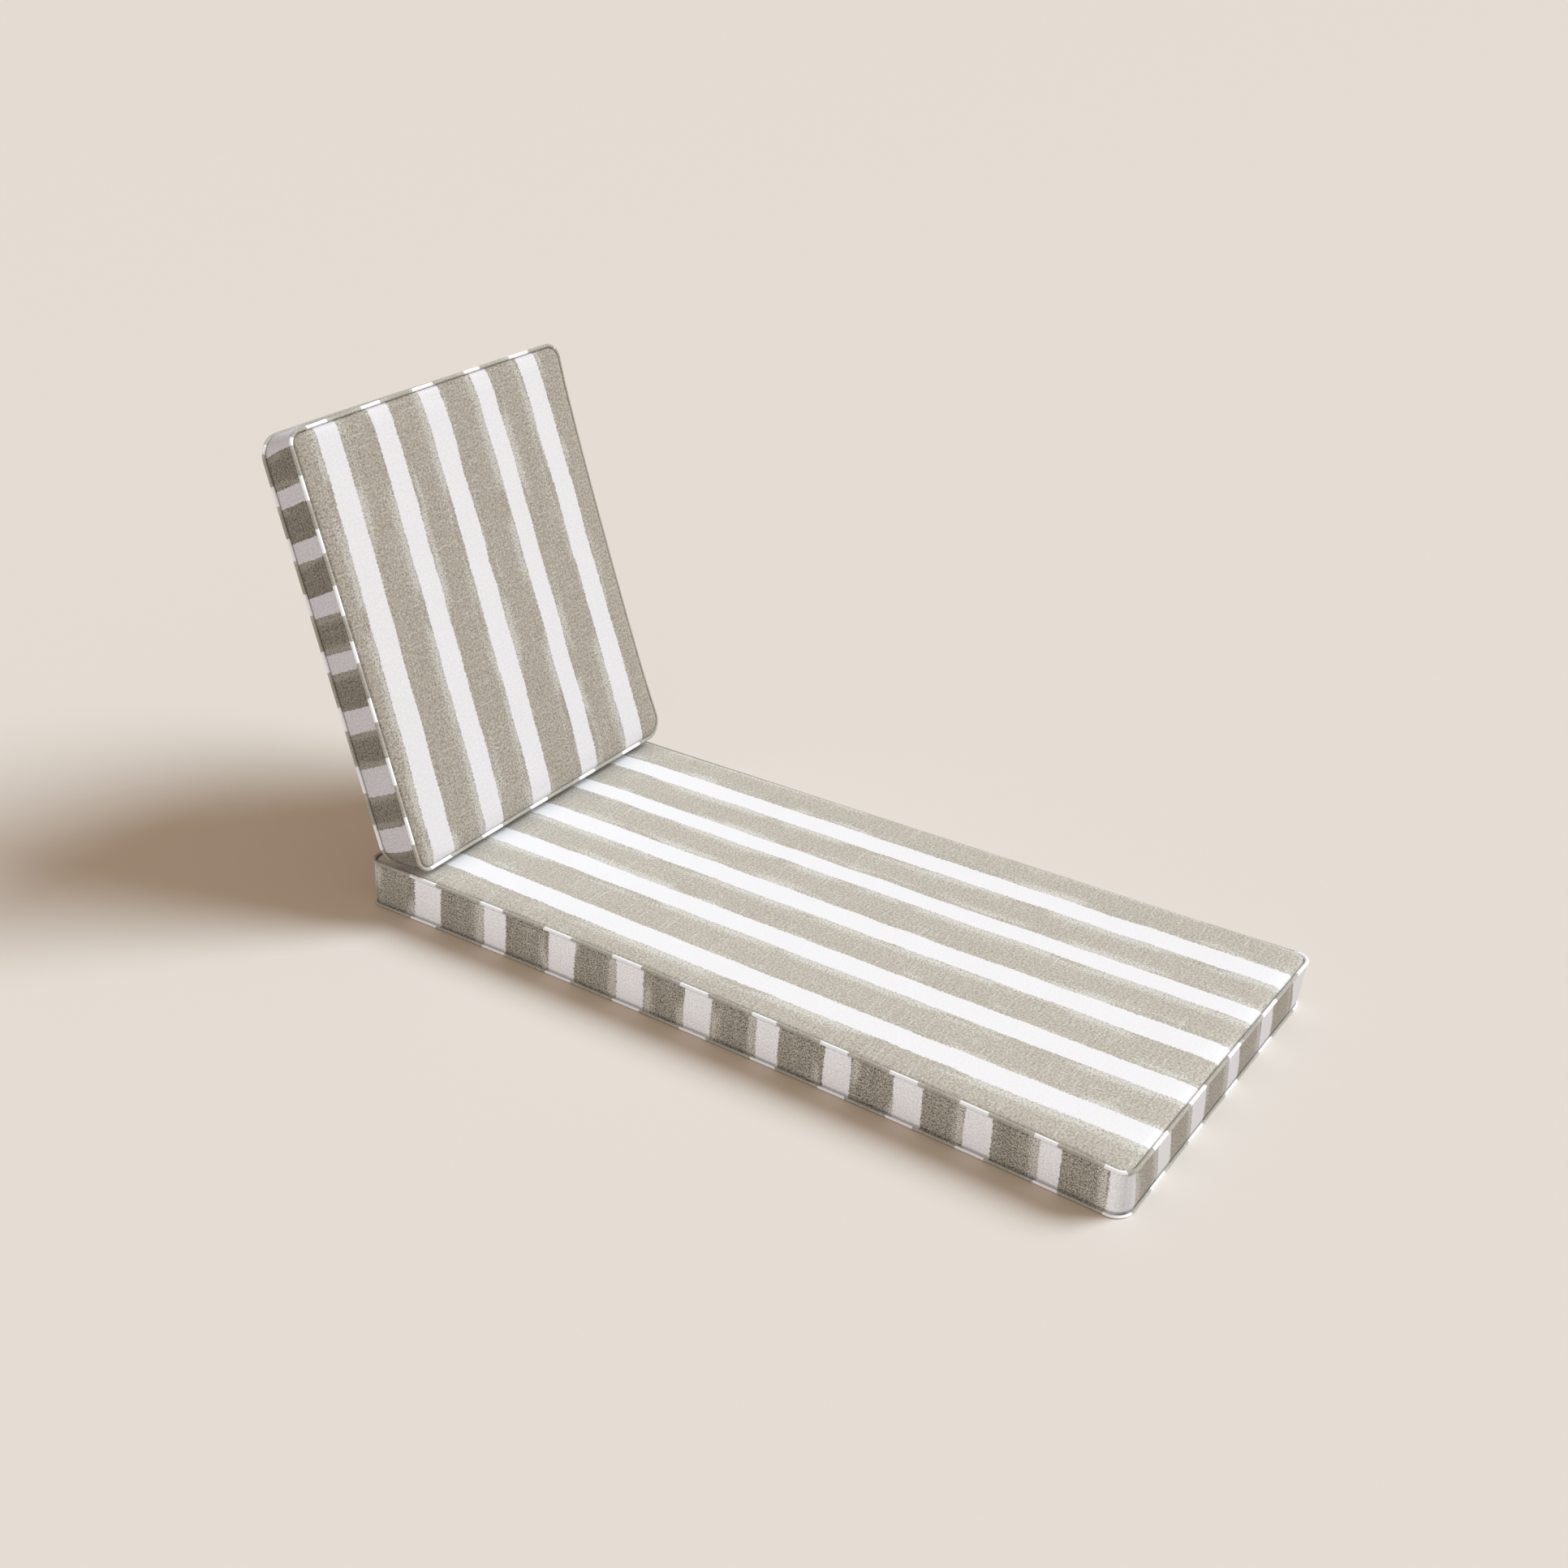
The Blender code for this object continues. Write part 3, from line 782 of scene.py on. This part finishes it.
def mapStripes(cushion, mesh, grids, flats):
    stripeMap = mesh.uv_layers.new(name="stripes")
    weaveMap = mesh.uv_layers.new(name="weave")
    panels = ("top", "under", "minus", "end", "plus", "start")
    turns = [0] * len(mesh.loops)
    for face in mesh.polygons:
        centre = sum((grids[v] for v in face.vertices), Vector()) / len(face.vertices)
        panel = panelOf(cushion, centre)
        # the side's cloth goes round the foot corner a little, so that its painted shade can fade into the end's
        turned = panel == "end" and sidePlace(cushion, panel, centre) < skin["cornerTurn"]
        if panel in ("top", "under"):
            face.material_index = 0
        else:
            face.material_index = 1 if panel in ("minus", "plus") or turned else 2
        bands = stripes[cushion["name"]][panel]
        for loop in face.loop_indices:
            vertex = mesh.loops[loop].vertex_index
            across, along = stripePlace(cushion, panel, grids[vertex], flats[vertex])
            stripeMap.data[loop].uv = (repeatsAt(bands, across), along)
            weaveMap.data[loop].uv = (across / 1000, along + weaveApart * panels.index(panel))
            # painted shade: the side's colour darkens round the foot corner
            if face.material_index == 1 and cushion is seat:
                turns[loop] = turnOf(cushion, panel, grids[vertex])
    mesh.attributes.new("turn", "FLOAT", "CORNER").data.foreach_set("value", turns)
    for name in ("grid", "flat"):
        mesh.attributes.remove(mesh.attributes[name])


# piping: a cord covered with the same cloth, round each seam

def weltPoint(cushion, upper, side, place):
    # side is minus, end, plus or start, and place how far along it, as if the corners were square
    level = 1.0 if upper else 0.0
    half = (cushion["length"] / 2, meanWidth(cushion) / 2)
    lengthwise = side in ("minus", "plus")
    whole = half[0] if lengthwise else half[1]
    gone = min(place, 2 * whole - place)
    sign = -1 if place < whole else 1
    endSign = sign if lengthwise else 1 if side == "end" else -1
    sideSign = sign if not lengthwise else 1 if side == "plus" else -1
    corner = cornerOf(cushion, level, endSign, sideSign)
    x, y = planPoint(cushion, corner, 0, gone if lengthwise else 0, 0 if lengthwise else gone)
    x, y = half[0] + endSign * x, sideSign * y
    newX, newY = drawIn(cushion, level, x, y)
    lowerLevel = cushion["lowerPiping"] - seatFloor if cushion["liesFlat"] else 0
    return Vector((newX, newY, upperSeam(cushion, x, y) if upper else lowerLevel))


pipes = {"sides": 12, "step": 0.007, "cornerStep": 0.0025}
noBands = [(-200, 40), (1500, 40)]      # cut along a taupe band

pipeBands = {
    "seat_piping_top": {
        "minus": [(89, 52), (232, 43), (359, 51), (488, 53), (612, 50), (738, 41), (852, 46), (965, 44),
                  (1075, 41), (1186, 32), (1285, 34)],
        "end": [(-44, 36), (66, 41), (176, 48), (300, 40), (417, 49), (543, 70)],
        "plus": [(-200, 40), (1300, 60)], "start": evenBands(40, 112, 42, 590)},
    "seat_piping_bottom": {
        "minus": [(85, 50), (230, 43), (357, 48), (485, 50), (609, 48), (735, 42), (850, 45), (962, 43),
                  (1073, 41), (1190, 34), (1290, 42)],
        "end": [(-30, 48), (76, 42), (192, 46), (315, 42), (433, 46), (560, 44)],
        "plus": evenBands(44, 118, 44, 1000 * seatLength), "start": evenBands(40, 112, 42, 590)},
    "back_piping_front": {
        "plus": [(49, 46), (146, 46), (248, 38), (343, 35), (415, 48), (512, 36), (591, 38), (673, 14)],
        "end": [(41, 40), (150, 39), (258, 43), (372, 34), (475, 47)],
        "minus": noBands,
        "start": [(18, 46), (136, 46), (252, 40), (374, 40), (488, 48)]},
    "back_piping_rear": {
        "plus": [(34, 46), (131, 46), (234, 38), (330, 33), (419, 34), (505, 34), (589, 30), (670, 30)],
        "end": [(-60, 30), (640, 40)],
        "minus": evenBands(60, 104, 38, 688),
        "start": evenBands(66, 112, 42, 600)},
}


def buildPiping(cushion, name, upper, material):
    points, marks = [], []
    lengthwise, crosswise = cushion["length"], meanWidth(cushion)
    corner = max(cushion["upperCorners"] if upper else cushion["lowerCorners"])
    runs = (("minus", lengthwise, False), ("end", crosswise, False),
            ("plus", lengthwise, True), ("start", crosswise, True))
    for side, whole, backwards in runs:
        cornerSteps = max(3, round(corner / pipes["cornerStep"]))
        straightSteps = round((whole - 2 * corner) / pipes["step"])
        places = [corner * n / cornerSteps for n in range(cornerSteps)]
        places += [corner + (whole - 2 * corner) * n / straightSteps for n in range(straightSteps)]
        places += [whole - corner + corner * n / cornerSteps for n in range(cornerSteps)]
        for place in places:
            place = whole - place if backwards else place
            points.append(weltPoint(cushion, upper, side, place))
            marks.append((side, place))
    curve = bpy.data.curves.new(name, "CURVE")
    curve.dimensions = "3D"
    curve.bevel_depth = pipingRadius if upper else cushion["lowerPiping"]
    curve.bevel_resolution = (pipes["sides"] - 4) // 2
    spline = curve.splines.new("POLY")
    spline.points.add(len(points) - 1)
    for knot, point in zip(spline.points, points):
        knot.co = (*point, 1)
    spline.use_cyclic_u = True
    piece = bpy.data.objects.new(name, curve)
    bpy.context.collection.objects.link(piece)
    bpy.ops.object.select_all(action="DESELECT")
    bpy.context.view_layer.objects.active = piece
    piece.select_set(True)
    bpy.ops.object.convert(target="MESH")
    mapPiping(cushion, piece.data, name, marks)
    piece.data.materials.clear()
    piece.data.materials.append(material)
    piece.data.shade_smooth()
    print(name, "has", len(piece.data.polygons), "faces")
    return piece


def mapPiping(cushion, mesh, name, marks):
    sides = len(mesh.vertices) // len(marks)
    bands = pipeBands[name]
    while mesh.uv_layers:
        mesh.uv_layers.remove(mesh.uv_layers[0])
    stripeMap = mesh.uv_layers.new(name="stripes")
    weaveMap = mesh.uv_layers.new(name="weave")
    for face in mesh.polygons:
        rings = sorted({v // sides for v in face.vertices})
        wraps = rings[0] == 0 and rings[-1] == len(marks) - 1
        first = rings[-1] if wraps else rings[0]
        side = marks[first][0]
        turns = sorted({v % sides for v in face.vertices})
        seamed = turns[0] == 0 and turns[-1] == sides - 1
        for loop in face.loop_indices:
            vertex = mesh.loops[loop].vertex_index
            ring, turn = vertex // sides, vertex % sides
            place = marks[ring][1]
            if marks[ring][0] != side:
                place = marks[first][1] + (marks[first][1] - marks[first - 1][1])
            share = (turn + sides if seamed and turn == 0 else turn) / sides
            stripeMap.data[loop].uv = (repeatsAt(bands[side], chartPlace(cushion, side, place)), share)
            weaveMap.data[loop].uv = (place, share * 2 * math.pi * pipingRadius)


# where each cushion stands

seatFloor = (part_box("seat_welt_bottom")[0].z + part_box("seat_welt_bottom")[1].z) / 2
seatMiddleY = (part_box("seat_welt_bottom")[0].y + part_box("seat_welt_bottom")[1].y) / 2


def seatMatrix():
    return Matrix.Translation((seatHeadX, seatMiddleY, seatFloor))


def backMatrix():
    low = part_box("back_welt_rear")[0].z + pipingRadius - backPlace["sink"]
    lean = math.radians(backPlace["lean"])
    turn = Matrix(((-math.sin(lean), 0, math.cos(lean)), (0, -1, 0), (math.cos(lean), 0, math.sin(lean))))
    place = (seatHeadX + backPlace["stand"], seatMiddleY + backPlace["offCentre"], low)
    return Matrix.Translation(place) @ turn.to_4x4()


def buildCushion(cushion, matrix, panelCloths, pipingCloth, pipingNodes):
    padding = buildPadding(cushion, panelCloths)
    pieces = [(padding, cushion["node"], "striped_cloth")]
    for name, node, upper in pipingNodes:
        pieces.append((buildPiping(cushion, name, upper, pipingCloth), node, "piping_cloth"))
    for piece, node, slot in pieces:
        piece.data.transform(matrix)
        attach(piece, "root")
        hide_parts(node)


print("camera and studio")
addCamera()
addStudio()
print("cloth")
cloths = {kind: stripedCloth(recipe) for kind, recipe in clothRecipesWithPaintedShade.items()}
print("seat")
buildCushion(seat, seatMatrix(), [cloths[kind] for kind in ("panel", "side", "end")], cloths["piping"],
             (("seat_piping_bottom", "seat_welt_bottom", False), ("seat_piping_top", "seat_welt_top", True)))
print("back")
buildCushion(back, backMatrix(), [cloths[kind] for kind in ("backPanel", "backSide", "backSide")], cloths["piping"],
             (("back_piping_rear", "back_welt_rear", False), ("back_piping_front", "back_welt_front", True)))
